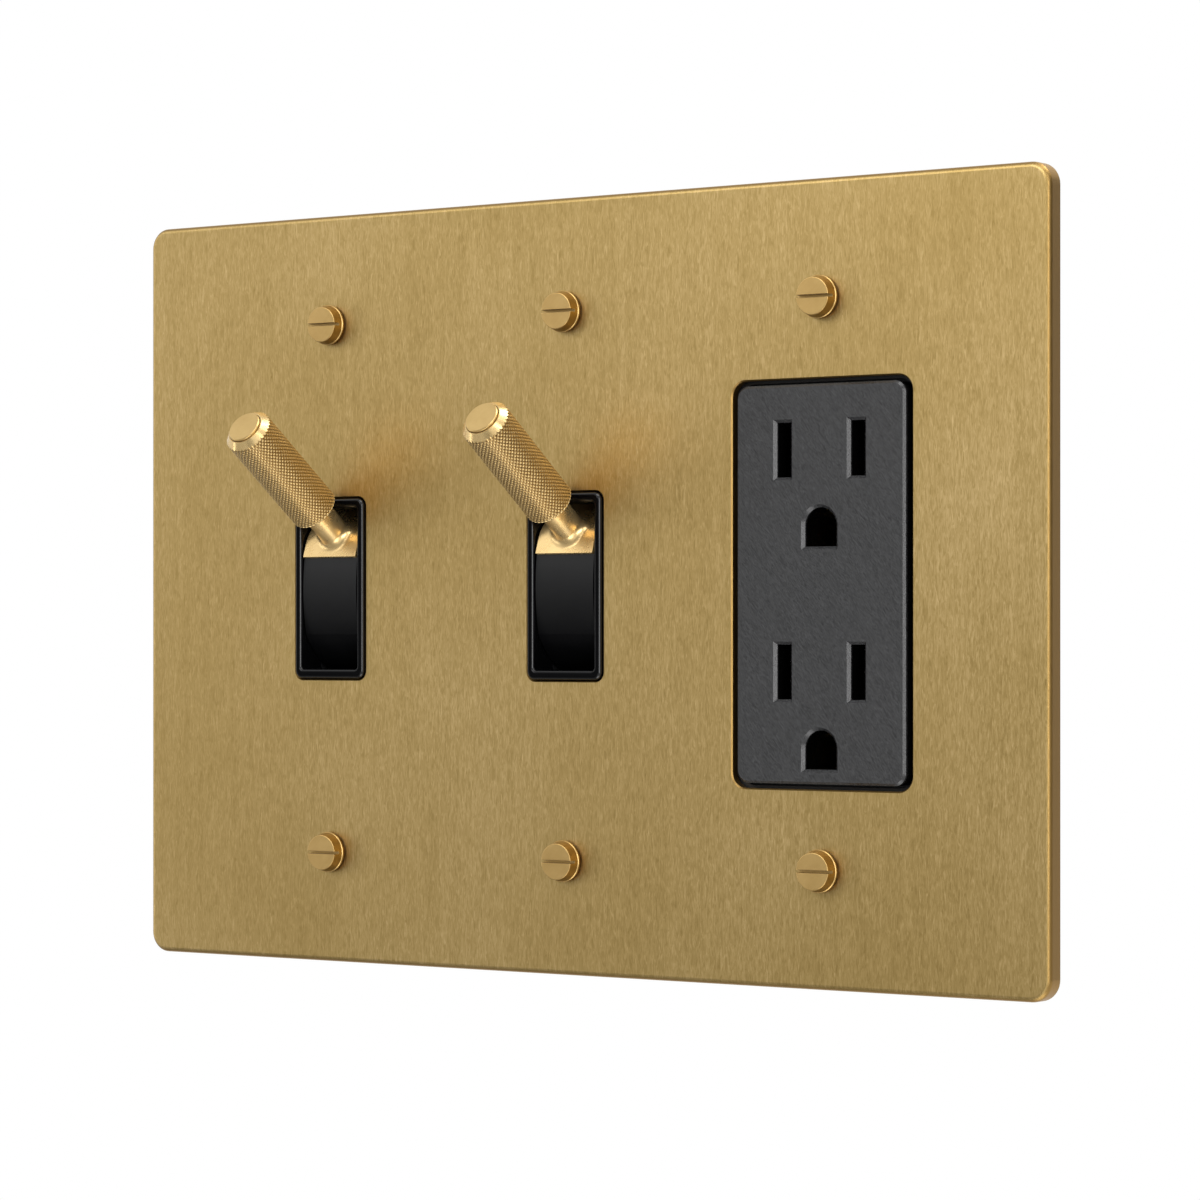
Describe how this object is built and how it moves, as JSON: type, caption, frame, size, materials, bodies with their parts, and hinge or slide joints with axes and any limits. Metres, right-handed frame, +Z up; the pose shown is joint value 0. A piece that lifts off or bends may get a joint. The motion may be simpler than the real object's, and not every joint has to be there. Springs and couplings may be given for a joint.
{
  "type": "toggle light switch and outlet wall plate",
  "caption": "Brushed brass combination wall plate with knurled-lever toggle light switches beside a duplex outlet, screwed to a flush wall box with slotted screws.",
  "frame": {"origin": "middle of the plate, on the wall's surface where the plate's back rim rests", "axes": "+X to the right and +Z up as seen from the room, +Y into the wall"},
  "size_m": [0.168, 0.0575, 0.118],
  "materials": {
    "brushed_brass": "satin, brushed from top to bottom, lacquered",
    "polished_brass": "turned and polished",
    "gloss_black": "moulded, glossy",
    "satin_black": "moulded, satin",
    "charcoal_nylon": "moulded, fine texture",
    "black_nylon": "moulded, matt",
    "zinc_steel": "zinc plated",
    "black_steel": "black coated",
    "contact_brass": "stamped, bright",
    "brass_screw": "bright",
    "nickel_screw": "nickel plated",
    "green_screw": "green dyed plating",
    "spring_steel": "drawn wire",
    "acetal": "moulded"
  },
  "bodies": {
    "plate": {"cover_screws": "polished_brass", "face_plate": "brushed_brass", "left_bezel": "gloss_black", "left_case_screws": "nickel_screw", "left_common_terminal": "contact_brass", "left_ground_screw": "green_screw", "left_housing": "black_nylon", "left_housing_base": "black_nylon", "left_lower_terminal": "contact_brass", "left_pivot_pin": "nickel_screw", "left_strap": "zinc_steel", "left_terminal_screws": "brass_screw", "left_upper_terminal": "contact_brass", "middle_bezel": "gloss_black", "middle_case_screws": "nickel_screw", "middle_common_terminal": "contact_brass", "middle_ground_screw": "green_screw", "middle_housing": "black_nylon", "middle_housing_base": "black_nylon", "middle_lower_terminal": "contact_brass", "middle_pivot_pin": "nickel_screw", "middle_strap": "zinc_steel", "middle_terminal_screws": "brass_screw", "middle_upper_terminal": "contact_brass", "receptacle_body": "black_nylon", "receptacle_case_screws": "nickel_screw", "receptacle_face": "charcoal_nylon", "receptacle_ground_contact": "contact_brass", "receptacle_ground_screw": "green_screw", "receptacle_line_contact": "contact_brass", "receptacle_line_screws": "brass_screw", "receptacle_neutral_contact": "contact_brass", "receptacle_neutral_screws": "nickel_screw", "receptacle_strap": "black_steel"},
    "left_toggle": {"left_drum": "satin_black", "left_lever": "polished_brass", "left_grip": "polished_brass", "left_grip_cap": "polished_brass", "left_plunger": "acetal", "left_plunger_spring": "spring_steel"},
    "left_contact": {"left_contact_rocker": "contact_brass"},
    "middle_toggle": {"middle_drum": "satin_black", "middle_lever": "polished_brass", "middle_grip": "polished_brass", "middle_grip_cap": "polished_brass", "middle_plunger": "acetal", "middle_plunger_spring": "spring_steel"},
    "middle_contact": {"middle_contact_rocker": "contact_brass"}
  },
  "joints": [
    {"name": "left_toggle_throw", "type": "hinge", "parent": "plate", "child": "left_toggle", "pos_m": [-0.04604, 0.0102, 0], "axis": [1, 0, 0], "range_deg": [0, 72]},
    {"name": "left_contact_rock", "type": "hinge", "parent": "plate", "child": "left_contact", "pos_m": [-0.04604, 0.0222, 0], "axis": [1, 0, 0], "range_deg": [-16, 0]},
    {"name": "middle_toggle_throw", "type": "hinge", "parent": "plate", "child": "middle_toggle", "pos_m": [0, 0.0102, 0], "axis": [1, 0, 0], "range_deg": [0, 72]},
    {"name": "middle_contact_rock", "type": "hinge", "parent": "plate", "child": "middle_contact", "pos_m": [0, 0.0222, 0], "axis": [1, 0, 0], "range_deg": [-16, 0]}
  ],
  "couplings": [
    {"joint": "left_contact_rock", "follows": "left_toggle_throw", "ratio": -0.22222},
    {"joint": "middle_contact_rock", "follows": "middle_toggle_throw", "ratio": -0.22222}
  ]
}
